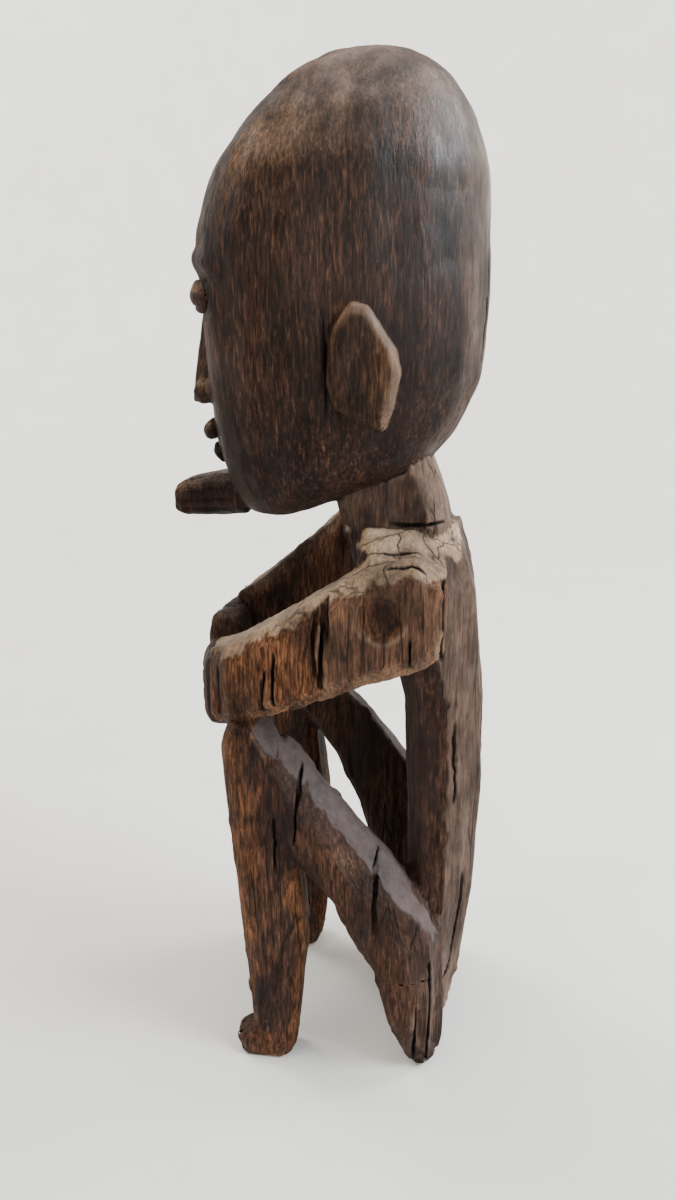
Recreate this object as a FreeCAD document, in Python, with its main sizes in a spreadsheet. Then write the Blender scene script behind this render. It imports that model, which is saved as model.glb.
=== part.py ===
"""Carved ancestor figure: one block of wood worked into a seated figure with a tall egg-shaped head,
arms laid over the drawn-up knees and hands joined in front of the shins.

Every carved member is a body of its own. Members are lofted through closed outlines, and each one
is trimmed by the neighbour it grows out of, so that the two meet face to face.
Axes: +Z is up, the figure faces -Y, its left side is +X. The floor is Z = 0. Millimetres.
"""

import FreeCAD
import Part
import Sketcher

import math
import os

# Driving dimensions. X sizes are distances from the middle plane, Y sizes grow towards the back.
SIZES = {
    "figure_height": 664,
    "figure_front": -107.5,
    "figure_back": 107.5,
    "limb_outer": 79,
    # head and neck
    "head_low": 391,
    "head_front": -86,
    "head_back": 98,
    "head_half": 69,
    "neck_low": 386,
    "neck_high": 442,
    "neck_front": -6,
    "neck_back": 82,
    "neck_half": 38,
    # face, on the ordinary canon: eyes halfway up the head, nose base a quarter of the way up,
    # mouth a third of the way from the nose base to the chin. The nose stands out 0.55 of its length
    # on a living head and half as far here, as low relief; the lips lie about on the line from the
    # nose tip to the chin; an eye is a fifth of the head's width and one eye from its fellow.
    "face_root": -60,
    "nose_low": 462,
    "nose_high": 558,
    "nose_tip": -94,
    "nose_half": 16,
    "upper_lip_low": 439,
    "upper_lip_high": 455,
    "upper_lip_front": -86,
    "upper_lip_half": 21,
    "lower_lip_low": 422,
    "lower_lip_high": 438,
    "lower_lip_front": -80,
    "lower_lip_half": 19,
    "beard_root": -50,
    "beard_low": 387,
    "beard_high": 417,
    "beard_half": 22,
    "eyelid_out": 24,
    "eyelid_y": -69,
    "eyelid_z": 528,
    "eyelid_long": 23,
    "eyelid_deep": 18,
    "eyelid_tall": 15,
    # ears
    "ear_root": 54,
    "ear_face": 77,
    "ear_front": 6,
    "ear_back": 48,
    "ear_low": 451,
    "ear_high": 523,
    # torso
    "torso_low": 12,
    "torso_front": 14,
    "torso_half": 62,
    # arms
    "arm_inner": 36,
    "shoulder_back": 78,
    "elbow_y": 1,
    "left_arm_low": 280,
    "left_arm_high": 376,
    "right_arm_low": 300,
    "right_arm_high": 386,
    "wrist_inner": 20,
    "wrist_y": -76,
    "left_wrist_low": 252,
    "left_elbow_high": 351,
    "right_wrist_low": 250,
    "right_elbow_high": 384,
    "hand_end": 52,
    "hand_front": -94,
    "hand_back": -58,
    "hand_low": 230,
    "left_hand_high": 302,
    "right_hand_high": 320,
    # legs
    "thigh_inner": 30,
    "thigh_low": 75,
    "thigh_front": -60,
    "thigh_back": 84,
    "left_thigh_high": 242,
    "right_thigh_high": 268,
    "shin_low": 22,
    "shin_inner": 39,
    "shin_outer": 77,
    "shin_front": -67,
    "shin_back": -11,
    "left_knee_high": 260,
    "right_knee_high": 290,
    "foot_low": 0,
    "foot_inner": 49,
    "foot_outer": 78,
    "foot_front": -63,
    "foot_back": -17,
    "buttock_inner": 31,
    "buttock_front": 38,
    "buttock_back": 85,
}

# How far each eyelid is turned to follow the head, and how far its outer end droops, in degrees.
EYELID_TURN = 27
EYELID_DROOP = 6

# For each drawing axis: the origin plane, the sign of that plane's normal, the outline's two axes.
AXES = {
    "X": ("YZ_Plane", 1, "Y", "Z"),
    "Y": ("XZ_Plane", -1, "X", "Z"),
    "Z": ("XY_Plane", 1, "X", "Y"),
}

SIDES = {"left": 1, "right": -1}

doc = FreeCAD.newDocument("ancestor_figure")
sheet = doc.addObject("Spreadsheet::Sheet", "Sizes")
solids = {}


def fill_sheet():
    for row, (alias, value) in enumerate(SIZES.items(), start=1):
        sheet.set("A%d" % row, alias)
        sheet.set("B%d" % row, str(value))
        sheet.setAlias("B%d" % row, alias)
    doc.recompute()


def number(alias):
    """Size under an alias; a leading minus sign gives its mirror across the middle plane."""
    if alias.startswith("-"):
        return -SIZES[alias[1:]]
    return SIZES[alias]


def term(alias):
    if alias.startswith("-"):
        return "-Sizes.%s" % alias[1:]
    return "Sizes.%s" % alias


def between(span, share, sign=1):
    """Value and expression of the point lying a share of the way along a span of two sizes."""
    low, high = span
    value = sign * (number(low) + (number(high) - number(low)) * share)
    text = "%d * (%s + (%s - (%s)) * %.4f)" % (sign, term(low), term(high), term(low), share)
    return value, text


def round_outline(count, squareness):
    """Corner shares of a closed outline: 2 is an ellipse, larger numbers are squarer."""
    power = 2 / squareness
    reach = math.cos(math.pi / count) ** power
    corners = []
    for index in range(count):
        angle = (index + 0.5) * 2 * math.pi / count
        across = math.copysign(abs(math.cos(angle)) ** power, math.cos(angle)) / reach
        along = math.copysign(abs(math.sin(angle)) ** power, math.sin(angle)) / reach
        corners.append((0.5 + 0.5 * across, 0.5 + 0.5 * along))
    return corners


ROUND = round_outline(16, 2.2)
OVAL = round_outline(8, 2.2)
BLOCK = round_outline(8, 4)
# Trunk: flat front, and a back cut to three long flats. Corners run from front to back.
TRUNK = [
    (0.14, 0.00), (0.86, 0.00), (1.00, 0.20), (1.00, 0.56),
    (0.74, 1.00), (0.26, 1.00), (0.00, 0.56), (0.00, 0.20),
]
# Thigh: the first share runs outwards. The upper outer edge is cut to two wide flats.
HAUNCH = [
    (0.12, 0.00), (0.82, 0.00), (1.00, 0.16), (1.00, 0.52), (0.80, 0.86),
    (0.40, 1.00), (0.08, 0.98), (0.00, 0.88), (0.00, 0.10),
]
LEAF = [
    (0.33, 1.00), (0.12, 0.83), (0.02, 0.64), (0.00, 0.38), (0.10, 0.18),
    (0.79, 0.00), (0.90, 0.18), (1.00, 0.46), (0.93, 0.64), (0.55, 0.97),
]


def origin_plane(body, role):
    return next(plane for plane in body.Origin.OriginFeatures if plane.Role == role)


def draw_polygon(sketch, corners):
    """Closed polygon whose every corner is held by a pair of bound distances from the origin."""
    points = [FreeCAD.Vector(across[0], along[0], 0) for across, along in corners]
    count = len(points)
    for index in range(count):
        sketch.addGeometry(Part.LineSegment(points[index], points[(index + 1) % count]), False)
    for index in range(count):
        sketch.addConstraint(Sketcher.Constraint("Coincident", index, 2, (index + 1) % count, 1))
    for index, (across, along) in enumerate(corners):
        for kind, (value, text) in (("DistanceX", across), ("DistanceY", along)):
            held = sketch.addConstraint(Sketcher.Constraint(kind, -1, 1, index, 1, value))
            sketch.setExpression("Constraints[%d]" % held, text)


def add_section(body, name, member, section, side):
    """One outline of a member, drawn in an origin plane pushed along the drawing axis."""
    role, normal, first_axis, second_axis = AXES[member["axis"]]
    station, first_low, first_high, second_low, second_high = section
    mirrored = {"X": side, "Y": 1, "Z": 1}
    sketch = doc.addObject("Sketcher::SketchObject", name)
    body.addObject(sketch)
    sketch.AttachmentSupport = [(origin_plane(body, role), "")]
    sketch.MapMode = "FlatFace"
    offset = between(member["along"], station, normal * mirrored[member["axis"]])
    sketch.AttachmentOffset = FreeCAD.Placement(FreeCAD.Vector(0, 0, offset[0]), FreeCAD.Rotation())
    sketch.setExpression("AttachmentOffset.Base.z", offset[1])
    corners = []
    for first_share, second_share in member["outline"]:
        first = first_low + (first_high - first_low) * first_share
        second = second_low + (second_high - second_low) * second_share
        corners.append((
            between(member["first"], first, mirrored[first_axis]),
            between(member["second"], second, mirrored[second_axis]),
        ))
    draw_polygon(sketch, corners)
    return sketch


def loft_member(name, member, side=1):
    """Body lofted straight from outline to outline."""
    body = doc.addObject("PartDesign::Body", name + "_blank")
    sketches = []
    for index, section in enumerate(member["sections"]):
        sketches.append(add_section(body, "%s_section_%d" % (name, index), member, section, side))
    loft = doc.addObject("PartDesign::AdditiveLoft", name + "_loft")
    body.addObject(loft)
    loft.Profile = sketches[0]
    loft.Sections = sketches[1:]
    loft.Ruled = True
    solids[name] = body
    return body


def trim(name, *neighbours):
    """Cut a member back to the faces of the neighbours it touches."""
    for neighbour in neighbours:
        cut = doc.addObject("Part::Cut", "%s_less_%s" % (name, neighbour))
        cut.Base = solids[name]
        cut.Tool = solids[neighbour]
        solids[name] = cut


def even(low, high, half):
    """Section shares for a member that is the same on both sides of the middle plane."""
    return 0.5 - 0.5 * half, 0.5 + 0.5 * half, low, high


def add_torso():
    profile = [
        (0.00, 0.56, 0.80, 0.48), (0.13, 0.49, 0.88, 0.71), (0.29, 0.47, 0.96, 0.81),
        (0.50, 0.45, 1.00, 0.73), (0.69, 0.41, 0.97, 0.77), (0.81, 0.30, 0.92, 0.90),
        (0.89, 0.15, 0.88, 1.00), (0.95, 0.02, 0.82, 0.97), (1.00, 0.00, 0.75, 0.68),
    ]
    loft_member("torso", {
        "axis": "Z",
        "along": ("torso_low", "neck_low"),
        "first": ("-torso_half", "torso_half"),
        "second": ("torso_front", "figure_back"),
        "outline": TRUNK,
        "sections": [(at, *even(low, high, half)) for at, low, high, half in profile],
    })


def add_neck():
    profile = [(0.00, 0.16, 0.97, 1.00), (0.32, 0.10, 0.92, 0.95), (1.00, 0.00, 0.77, 0.92)]
    loft_member("neck", {
        "axis": "Z",
        "along": ("neck_low", "neck_high"),
        "first": ("-neck_half", "neck_half"),
        "second": ("neck_front", "neck_back"),
        "outline": BLOCK,
        "sections": [(at, *even(low, high, half)) for at, low, high, half in profile],
    })


def add_head():
    profile = [
        (0.00, 0.16, 0.35, 0.43), (0.04, 0.12, 0.51, 0.67), (0.11, 0.08, 0.78, 0.83),
        (0.19, 0.05, 0.89, 0.91), (0.32, 0.03, 0.98, 0.97), (0.50, 0.01, 1.00, 1.00),
        (0.63, 0.00, 0.99, 0.99), (0.76, 0.06, 0.98, 0.94), (0.87, 0.18, 0.93, 0.79),
        (0.95, 0.31, 0.85, 0.58), (1.00, 0.45, 0.74, 0.30),
    ]
    loft_member("head", {
        "axis": "Z",
        "along": ("head_low", "figure_height"),
        "first": ("-head_half", "head_half"),
        "second": ("head_front", "head_back"),
        "outline": ROUND,
        "sections": [(at, *even(low, high, half)) for at, low, high, half in profile],
    })


def add_nose():
    profile = [(0.00, 0.00, 1.00, 1.00), (0.23, 0.09, 1.00, 0.86), (0.67, 0.26, 1.00, 0.50),
               (1.00, 0.30, 1.00, 0.43)]
    loft_member("nose", {
        "axis": "Z",
        "along": ("nose_low", "nose_high"),
        "first": ("-nose_half", "nose_half"),
        "second": ("nose_tip", "face_root"),
        "outline": OVAL,
        "sections": [(at, *even(low, high, half)) for at, low, high, half in profile],
    })


def add_lip(name, profile):
    loft_member(name, {
        "axis": "Z",
        "along": (name + "_low", name + "_high"),
        "first": ("-%s_half" % name, name + "_half"),
        "second": (name + "_front", "face_root"),
        "outline": BLOCK,
        "sections": [(at, *even(low, 1.00, half)) for at, low, half in profile],
    })


def add_beard():
    profile = [(0.00, 0.12, 1.00, 1.00), (0.47, 0.03, 0.97, 0.95), (0.88, 0.00, 0.80, 0.86),
               (1.00, 0.06, 0.66, 0.70)]
    loft_member("beard", {
        "axis": "Y",
        "along": ("beard_root", "figure_front"),
        "first": ("-beard_half", "beard_half"),
        "second": ("beard_low", "beard_high"),
        "outline": BLOCK,
        "sections": [(at, *even(low, high, half)) for at, low, high, half in profile],
    })


def add_eyelid(name, side):
    """Almond-shaped lobe drawn about its own centre, then turned to lie along the head."""
    profile = [(0.00, 0.32), (0.20, 0.80), (0.50, 1.00), (0.80, 0.80), (1.00, 0.32)]
    body = loft_member(name, {
        "axis": "Z",
        "along": ("-eyelid_tall", "eyelid_tall"),
        "first": ("-eyelid_long", "eyelid_long"),
        "second": ("-eyelid_deep", "eyelid_deep"),
        "outline": ROUND,
        "sections": [
            (at, 0.5 - 0.5 * wide, 0.5 + 0.5 * wide, 0.5 - 0.5 * wide, 0.5 + 0.5 * wide)
            for at, wide in profile
        ],
    })
    turn = FreeCAD.Rotation(FreeCAD.Vector(0, 0, 1), side * EYELID_TURN)
    droop = FreeCAD.Rotation(FreeCAD.Vector(0, 1, 0), side * EYELID_DROOP)
    body.Placement = FreeCAD.Placement(FreeCAD.Vector(), turn.multiply(droop))
    body.setExpression("Placement.Base.x", "%d * Sizes.eyelid_out" % side)
    body.setExpression("Placement.Base.y", "Sizes.eyelid_y")
    body.setExpression("Placement.Base.z", "Sizes.eyelid_z")


def add_ear(name, side):
    loft_member(name, {
        "axis": "X",
        "along": ("ear_root", "ear_face"),
        "first": ("ear_front", "ear_back"),
        "second": ("ear_low", "ear_high"),
        "outline": LEAF,
        "sections": [(0.00, 0.00, 1.00, 0.00, 1.00), (0.85, 0.00, 1.00, 0.00, 1.00),
                     (1.00, 0.06, 0.94, 0.05, 0.95)],
    }, side)


def add_upper_arm(side_name, side):
    loft_member(side_name + "_upper_arm", {
        "axis": "Y",
        "along": ("shoulder_back", "elbow_y"),
        "first": ("arm_inner", "limb_outer"),
        "second": (side_name + "_arm_low", side_name + "_arm_high"),
        "outline": BLOCK,
        "sections": [(0.00, 0.09, 0.88, 0.34, 0.88), (0.23, 0.05, 0.98, 0.23, 1.00),
                     (0.62, 0.00, 1.00, 0.12, 0.92), (1.00, 0.09, 1.00, 0.00, 0.74)],
    }, side)


def add_forearm(side_name, side):
    loft_member(side_name + "_forearm", {
        "axis": "Y",
        "along": ("elbow_y", "wrist_y"),
        "first": ("wrist_inner", "limb_outer"),
        "second": (side_name + "_wrist_low", side_name + "_elbow_high"),
        "outline": BLOCK,
        "sections": [(0.00, 0.34, 1.00, 0.29, 1.00), (0.39, 0.31, 0.95, 0.16, 0.80),
                     (0.79, 0.14, 0.81, 0.05, 0.61), (1.00, 0.00, 0.58, 0.00, 0.53)],
    }, side)


def add_hand(side_name, side):
    loft_member(side_name + "_hand", {
        "axis": "X",
        "along": ("hand_end", "foot_low"),
        "first": ("hand_front", "hand_back"),
        "second": ("hand_low", side_name + "_hand_high"),
        "outline": BLOCK,
        "sections": [(0.00, 0.35, 1.00, 0.29, 1.00), (0.52, 0.10, 0.85, 0.12, 0.95),
                     (1.00, 0.00, 0.80, 0.00, 0.92)],
    }, side)


def add_thigh(side_name, side, sections):
    loft_member(side_name + "_thigh", {
        "axis": "Z",
        "along": ("thigh_low", side_name + "_thigh_high"),
        "first": ("thigh_inner", "limb_outer"),
        "second": ("thigh_front", "thigh_back"),
        "outline": HAUNCH,
        "sections": sections,
    }, side)


def add_shin(side_name, side):
    loft_member(side_name + "_shin", {
        "axis": "Z",
        "along": ("shin_low", side_name + "_knee_high"),
        "first": ("shin_inner", "shin_outer"),
        "second": ("shin_front", "shin_back"),
        "outline": BLOCK,
        "sections": [(0.00, 0.29, 0.95, 0.30, 0.90), (0.10, 0.26, 0.95, 0.29, 0.94),
                     (0.29, 0.16, 0.97, 0.22, 1.00), (0.48, 0.08, 1.00, 0.15, 0.96),
                     (0.72, 0.03, 1.00, 0.07, 0.83), (0.93, 0.00, 0.92, 0.00, 0.66),
                     (1.00, 0.11, 0.79, 0.08, 0.52)],
    }, side)


def add_foot(side_name, side):
    loft_member(side_name + "_foot", {
        "axis": "Z",
        "along": ("foot_low", "shin_low"),
        "first": ("foot_inner", "foot_outer"),
        "second": ("foot_front", "foot_back"),
        "outline": BLOCK,
        "sections": [(0.00, 0.07, 0.93, 0.09, 0.85), (0.55, 0.00, 1.00, 0.00, 1.00),
                     (1.00, 0.03, 0.90, 0.28, 1.00)],
    }, side)


def add_buttock(side_name, side):
    loft_member(side_name + "_buttock", {
        "axis": "Z",
        "along": ("foot_low", "thigh_low"),
        "first": ("buttock_inner", "limb_outer"),
        "second": ("buttock_front", "buttock_back"),
        "outline": HAUNCH,
        "sections": [(0.00, 0.20, 0.76, 0.60, 0.92), (0.17, 0.16, 0.88, 0.43, 0.98),
                     (0.53, 0.09, 0.96, 0.20, 0.98), (1.00, 0.00, 1.00, 0.00, 0.98)],
    }, side)


# The far knee is drawn up a little higher than the near one, so the two thighs differ.
THIGH_SECTIONS = {
    "left": [(0.00, 0.02, 0.98, 0.68, 1.00), (0.15, 0.00, 1.00, 0.58, 1.00),
             (0.33, 0.04, 1.00, 0.47, 0.90), (0.54, 0.08, 0.98, 0.28, 0.67),
             (0.78, 0.12, 0.94, 0.12, 0.44), (1.00, 0.16, 0.88, 0.04, 0.24)],
    "right": [(0.00, 0.02, 0.98, 0.68, 1.00), (0.23, 0.00, 1.00, 0.58, 1.00),
              (0.39, 0.04, 1.00, 0.51, 0.97), (0.60, 0.08, 0.98, 0.38, 0.76),
              (0.80, 0.12, 0.94, 0.18, 0.56), (1.00, 0.16, 0.88, 0.03, 0.26)],
}


def add_limbs(side_name, side):
    add_ear(side_name + "_ear", side)
    add_eyelid(side_name + "_eyelid", side)
    add_upper_arm(side_name, side)
    add_forearm(side_name, side)
    add_hand(side_name, side)
    add_thigh(side_name, side, THIGH_SECTIONS[side_name])
    add_shin(side_name, side)
    add_foot(side_name, side)
    add_buttock(side_name, side)


def trim_limbs(side_name):
    shin = side_name + "_shin"
    forearm = side_name + "_forearm"
    trim(side_name + "_ear", "head")
    trim(side_name + "_eyelid", "head")
    trim(side_name + "_upper_arm", "torso")
    trim(forearm, shin)
    trim(side_name + "_hand", forearm, shin)
    trim(side_name + "_thigh", shin, "torso")
    trim(side_name + "_buttock", "torso")


def check_document():
    doc.recompute()
    for item in doc.Objects:
        if "Invalid" in item.State or "Error" in item.State:
            raise RuntimeError("%s did not build" % item.Label)


def export_parts():
    os.makedirs("parts", exist_ok=True)
    for name, item in solids.items():
        item.Label = name
        shape = item.Shape
        if shape.isNull() or not shape.isValid() or len(shape.Solids) != 1:
            raise RuntimeError("%s is not one sound solid" % name)
        shape.exportStep("parts/%s.step" % name)


fill_sheet()
add_torso()
add_neck()
add_head()
add_nose()
add_lip("upper_lip", [(0.00, 0.10, 1.00), (0.45, 0.00, 0.95), (1.00, 0.30, 0.62)])
add_lip("lower_lip", [(0.00, 0.25, 0.62), (0.50, 0.00, 0.95), (1.00, 0.08, 1.00)])
add_beard()
for side_name, side in SIDES.items():
    add_limbs(side_name, side)
doc.recompute()

trim("neck", "head")
for side_name in SIDES:
    trim_limbs(side_name)
trim("nose", "head", "left_eyelid", "right_eyelid")
trim("upper_lip", "head")
trim("lower_lip", "head")
trim("beard", "head")

check_document()
export_parts()
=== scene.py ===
"""The look of the carved ancestor figure: one block of old dark wood, cut with an adze and rubbed by hands.

The CAD members are read as solids on a voxel lattice, joined, softened and carved with strokes, then
meshed once. The mesh is shared out among the members, so that each one is a closed piece of its own and
the pieces meet without a seam. Sculpting is done in millimetres; the meshes are in metres.
"""

import itertools
import math

import bmesh
import bpy
import numpy as np
import openvdb as vdb
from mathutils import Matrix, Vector


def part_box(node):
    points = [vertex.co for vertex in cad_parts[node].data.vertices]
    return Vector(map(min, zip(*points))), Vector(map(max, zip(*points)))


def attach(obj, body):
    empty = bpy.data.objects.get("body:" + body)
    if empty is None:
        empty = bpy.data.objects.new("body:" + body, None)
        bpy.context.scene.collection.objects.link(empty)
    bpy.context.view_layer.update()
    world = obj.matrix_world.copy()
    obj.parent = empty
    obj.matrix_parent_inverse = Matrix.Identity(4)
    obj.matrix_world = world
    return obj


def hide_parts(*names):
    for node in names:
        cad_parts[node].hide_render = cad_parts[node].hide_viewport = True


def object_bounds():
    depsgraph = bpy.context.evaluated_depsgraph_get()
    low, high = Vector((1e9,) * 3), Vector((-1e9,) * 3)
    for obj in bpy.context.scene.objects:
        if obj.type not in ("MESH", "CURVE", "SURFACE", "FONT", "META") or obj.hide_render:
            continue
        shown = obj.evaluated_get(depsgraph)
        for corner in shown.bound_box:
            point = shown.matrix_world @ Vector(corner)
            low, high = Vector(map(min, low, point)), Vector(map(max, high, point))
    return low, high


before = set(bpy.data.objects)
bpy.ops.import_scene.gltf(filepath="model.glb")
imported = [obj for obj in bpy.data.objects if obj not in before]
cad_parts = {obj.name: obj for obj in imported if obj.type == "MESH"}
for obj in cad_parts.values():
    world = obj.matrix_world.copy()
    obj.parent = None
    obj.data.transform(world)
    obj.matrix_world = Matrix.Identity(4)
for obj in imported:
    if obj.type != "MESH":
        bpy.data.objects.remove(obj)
cad_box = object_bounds()

MM = 1000.0
VOXEL = 1.2
BAND = 9
MARGIN = 12.0

FACE = ["head", "nose", "left_eyelid", "right_eyelid", "upper_lip", "lower_lip"]
HEAD_PARTS = FACE + ["beard", "left_ear", "right_ear"]
LIMBS = ["upper_arm", "forearm", "hand", "thigh", "shin", "foot", "buttock"]
SIDES = {"left": 1, "right": -1}
BODY_PARTS = ["torso", "neck"] + [side + "_" + limb for side in SIDES for limb in LIMBS]
NODES = HEAD_PARTS + BODY_PARTS

# Directions for the left side: along and out of an eyelid, and out of the flat on top of a thigh.
LID_ALONG = (0.89, 0.45, -0.10)
LID_OUTWARD = (0.45, -0.89, 0.0)
LAP_OUTWARD = (0.33, 0.73, 0.60)

# The adze bite in each upper arm: its radius, and how far the cutting ball stands off the arm, in mm.
BITE = 15.0
BITE_STAND_OFF = 22.0


# ---------------------------------------------------------------- places on the members

def box_mm(node):
    low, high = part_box(node)
    return np.array(low) * MM, np.array(high) * MM


def at(node, across, along, up):
    """Point at shares of a member's box. On a left or right member, across runs outwards."""
    low, high = box_mm(node)
    if node.startswith("right_"):
        across = 1 - across
    return low + (high - low) * np.array([across, along, up])


# ---------------------------------------------------------------- the voxel lattice

ORIGIN = np.floor((np.array(cad_box[0]) * MM - MARGIN) / VOXEL).astype(int)
SHAPE = np.ceil((np.array(cad_box[1]) * MM + MARGIN) / VOXEL).astype(int) - ORIGIN + 1
FAR = BAND * VOXEL


def distance_field(points, triangles):
    """Signed distance, in mm, to a closed triangle mesh at every voxel."""
    grid = vdb.FloatGrid.createLevelSetFromPolygons(
        points.astype(np.float32),
        triangles=triangles.astype(np.uint32),
        transform=vdb.createLinearTransform(VOXEL),
        halfWidth=BAND,
    )
    field = np.empty(SHAPE, np.float32)
    grid.copyToArray(field, ijk=tuple(int(i) for i in ORIGIN))
    return field


def surface_of(field):
    """Points and four-sided faces of the surface where the field is zero."""
    grid = vdb.FloatGrid(FAR)
    grid.copyFromArray(np.clip(field, -FAR, FAR), ijk=tuple(int(i) for i in ORIGIN))
    grid.transform = vdb.createLinearTransform(VOXEL)
    points, _, quads = grid.convertToPolygons()
    return points.astype(np.float64), quads[:, ::-1].astype(np.int64)


def node_field(node):
    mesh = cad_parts[node].data
    points = np.empty(len(mesh.vertices) * 3, np.float32)
    mesh.vertices.foreach_get("co", points)
    mesh.calc_loop_triangles()
    triangles = np.empty(len(mesh.loop_triangles) * 3, np.int32)
    mesh.loop_triangles.foreach_get("vertices", triangles)
    return distance_field(points.reshape(-1, 3) * MM, triangles.reshape(-1, 3))


def softened(field, reach):
    """The field blurred over that many mm, which rounds the edges of its surface."""
    spread = reach / VOXEL
    half = math.ceil(2.5 * spread)
    offsets = range(-half, half + 1)
    weights = np.exp(-0.5 * (np.array(offsets) / spread) ** 2)
    weights = (weights / weights.sum()).astype(np.float32)
    for axis in range(3):
        blurred = np.zeros_like(field)
        for offset, weight in zip(offsets, weights):
            blurred += np.roll(field, offset, axis) * weight
        field = blurred
    return field


def soft_node(node, reach):
    field = node_field(node)
    slices, _ = window(box_mm(node), MARGIN)
    field[slices] = softened(field[slices], reach)
    return field


def joined(first, second, reach):
    """Union with a fillet of about that reach."""
    share = np.clip(0.5 + 0.5 * (second - first) / reach, 0, 1)
    return second + (first - second) * share - reach * share * (1 - share)


def window(points, reach):
    """Part of the lattice around some points: its slices and its voxel coordinates in mm."""
    points = np.asarray(points)
    low = np.clip(np.floor((points.min(0) - reach) / VOXEL).astype(int) - ORIGIN, 0, SHAPE)
    high = np.clip(np.ceil((points.max(0) + reach) / VOXEL).astype(int) - ORIGIN + 1, 0, SHAPE)
    slices = tuple(slice(a, b) for a, b in zip(low, high))
    axes = [(np.arange(a, b) + start) * VOXEL for a, b, start in zip(low, high, ORIGIN)]
    return slices, np.meshgrid(*axes, indexing="ij", sparse=True)


def sample(field, points):
    """Field values at points, read between the voxels."""
    place = np.asarray(points) / VOXEL - ORIGIN
    base = np.clip(np.floor(place).astype(int), 0, SHAPE - 2)
    part = np.clip(place - base, 0, 1)
    total = 0
    for corner in itertools.product((0, 1), repeat=3):
        index = base + corner
        weight = np.prod(np.where(corner, part, 1 - part), axis=-1)
        total = total + weight * field[index[..., 0], index[..., 1], index[..., 2]]
    return total


def slope(field, points):
    """Unit vector out of the surface at each point."""
    steps = np.eye(3) * VOXEL
    rise = np.stack([sample(field, points + s) - sample(field, points - s) for s in steps], -1)
    return rise / np.maximum(np.linalg.norm(rise, axis=-1, keepdims=True), 1e-6)


def struck(field, starts, direction, reach=34.0):
    """Where rays from the start points first enter the wood. Rays that miss are left out."""
    direction = np.array(direction, float)
    direction = direction / np.linalg.norm(direction)
    steps = np.arange(0, reach, VOXEL / 2)
    walk = np.asarray(starts)[:, None, :] + steps[None, :, None] * direction
    inside = sample(field, walk) < 0
    hits = inside.any(1)
    return walk[np.arange(len(walk)), inside.argmax(1)][hits]


def onto(field, points, lift):
    """Points near the surface moved to stand that far above it; a negative lift is below it."""
    points = np.array(points, float)
    for _ in range(6):
        points = points - slope(field, points) * (sample(field, points) - lift)[:, None]
    return points


def stroke_field(coordinates, points, radii):
    """Distance from a line of joined rods whose radius changes from point to point."""
    nearest = None
    for start, end, first, last in zip(points[:-1], points[1:], radii[:-1], radii[1:]):
        run = end - start
        length = max(float(run @ run), 1e-9)
        away = [axis - from_start for axis, from_start in zip(coordinates, start)]
        share = np.clip(sum(a * r for a, r in zip(away, run)) / length, 0, 1)
        gap = np.sqrt(sum((a - share * r) ** 2 for a, r in zip(away, run)))
        gap = gap - (first + (last - first) * share)
        nearest = gap if nearest is None else np.minimum(nearest, gap)
    return nearest


def arched(count, ends=0.0):
    """1 in the middle of a line of points, falling to the ends value at both ends."""
    place = np.linspace(-1, 1, count)
    return ends + (1 - ends) * np.sqrt(np.clip(1 - place**2, 0, 1))


def merge_rods(field, points, radii, blend, cut=False):
    """Add a line of rods to the solid, or cut it out."""
    slices, coordinates = window(points, max(radii) + blend + 2)
    rods = stroke_field(coordinates, points, radii).astype(np.float32)
    if cut:
        field[slices] = -joined(-field[slices], rods, blend)
    else:
        field[slices] = joined(field[slices], rods, blend)


def add_stroke(field, points, radii, lift=0.0, blend=3.0):
    merge_rods(field, onto(field, points, lift), radii, blend)


def carve_stroke(field, points, radii, lift=0.0, blend=1.0):
    merge_rods(field, onto(field, points, lift), radii, blend, cut=True)


def scoop_out(field, centre, radius, blend=1.0):
    """Cut a shallow bowl with a ball whose middle stands off the surface."""
    centre = np.array(centre, float)
    merge_rods(field, np.array([centre, centre + 0.1]), [radius, radius], blend, cut=True)


# ---------------------------------------------------------------- repeatable roughness

def hashed(cells, seed):
    """A number from 0 to 1 for each whole-number cell."""
    mixed = cells[..., 0] * 73856093 ^ cells[..., 1] * 19349663 ^ cells[..., 2] * 83492791
    mixed = (mixed ^ seed * 2654435761) & 0xFFFFFFFF
    mixed = (mixed ^ mixed >> 15) * 2246822519 & 0xFFFFFFFF
    mixed = (mixed ^ mixed >> 13) * 3266489917 & 0xFFFFFFFF
    return (mixed ^ mixed >> 16) / 4294967295.0


def noise(points, size, seed):
    """Smooth random numbers from -1 to 1, changing over that many mm on each axis."""
    place = points / np.array(size, float) + seed * 7.31
    base = np.floor(place).astype(np.int64)
    part = place - base
    part = part * part * (3 - 2 * part)
    total = 0
    for corner in itertools.product((0, 1), repeat=3):
        weight = np.prod(np.where(corner, part, 1 - part), axis=-1)
        total = total + weight * hashed(base + corner, seed)
    return total * 2 - 1


def scoops(points, size, seed):
    """Adze cuts: about 0 in the middle of each shallow scoop, rising to 1 on the ridges between."""
    place = points / np.array(size, float) + seed * 3.17
    base = np.floor(place).astype(np.int64)
    nearest = np.full(len(points), 9.0)
    for corner in itertools.product((-1, 0, 1), repeat=3):
        cell = base + corner
        spot = np.stack([hashed(cell, seed + axis) for axis in range(3)], -1)
        height = 0.25 * hashed(cell, seed + 3)
        nearest = np.minimum(nearest, ((cell + 0.1 + 0.8 * spot - place) ** 2).sum(-1) + height)
    return np.clip(nearest * 1.6, 0, 1.4)


# ---------------------------------------------------------------- the head

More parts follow.
